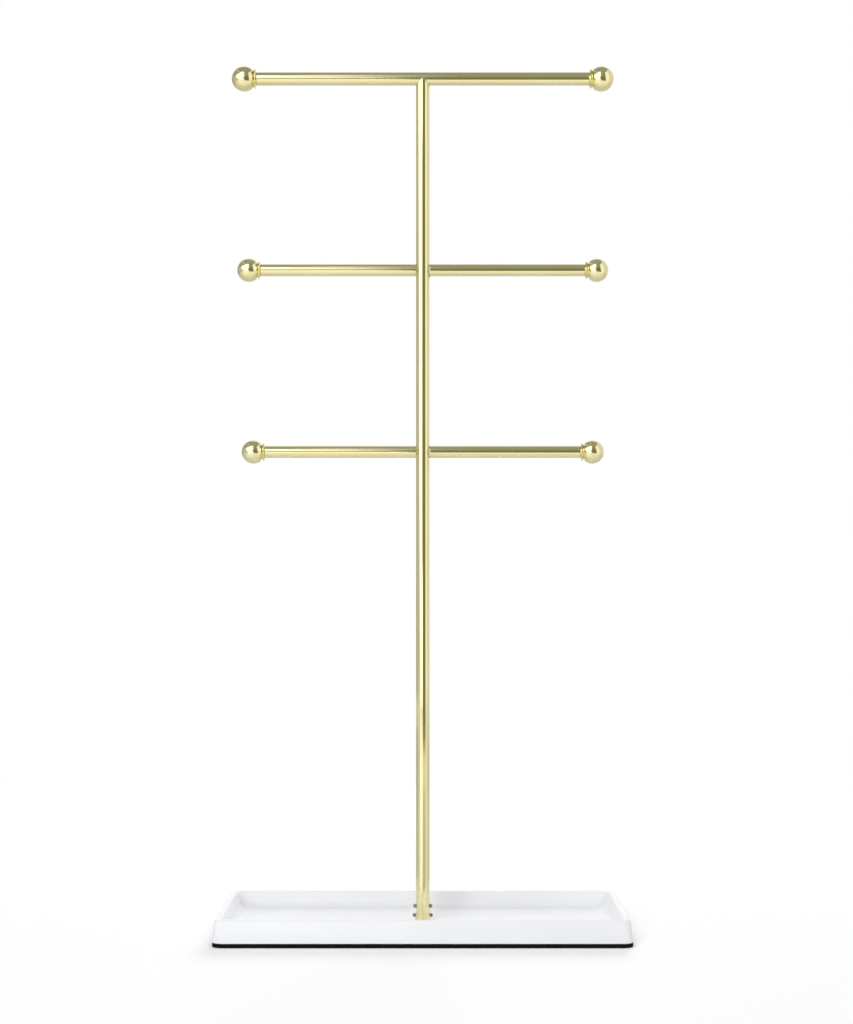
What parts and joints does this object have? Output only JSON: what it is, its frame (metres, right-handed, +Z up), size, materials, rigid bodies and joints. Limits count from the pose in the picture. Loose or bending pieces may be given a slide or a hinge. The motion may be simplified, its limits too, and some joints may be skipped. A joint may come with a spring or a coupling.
{
  "type": "jewellery t-bar stand",
  "caption": "Free-standing jewellery stand: upright post with level ball-ended bars over a shallow white tray on a thin black pad.",
  "frame": {"origin": "on the table, under the axis of the post, which stands at the middle of the tray", "axes": "+X along the bars, to the viewer's right; -Y to the front; +Z up along the post"},
  "size_m": [0.229, 0.114, 0.4922],
  "materials": {
    "brass_plate": "polished pale brass plate",
    "white_gloss": "gloss white moulded ABS",
    "black_foam": "matte black foam sheet",
    "zinc_steel": "bright zinc plate"
  },
  "bodies": {
    "root": {"base_pad": "black_foam", "base_tray": "white_gloss", "base_washer": "zinc_steel", "base_screw": "zinc_steel", "foot_insert": "zinc_steel", "foot_ferrule": "brass_plate", "foot_rivet_upper_left": "brass_plate", "foot_rivet_upper_right": "brass_plate", "foot_rivet_lower_left": "brass_plate", "foot_rivet_lower_right": "brass_plate", "post": "brass_plate", "top_bar": "brass_plate", "middle_arm_left": "brass_plate", "middle_arm_right": "brass_plate", "lower_arm_left": "brass_plate", "lower_arm_right": "brass_plate", "middle_cross_pin": "zinc_steel", "lower_cross_pin": "zinc_steel", "top_finial_left": "brass_plate", "top_finial_right": "brass_plate", "middle_finial_left": "brass_plate", "middle_finial_right": "brass_plate", "lower_finial_left": "brass_plate", "lower_finial_right": "brass_plate"}
  },
  "joints": []
}
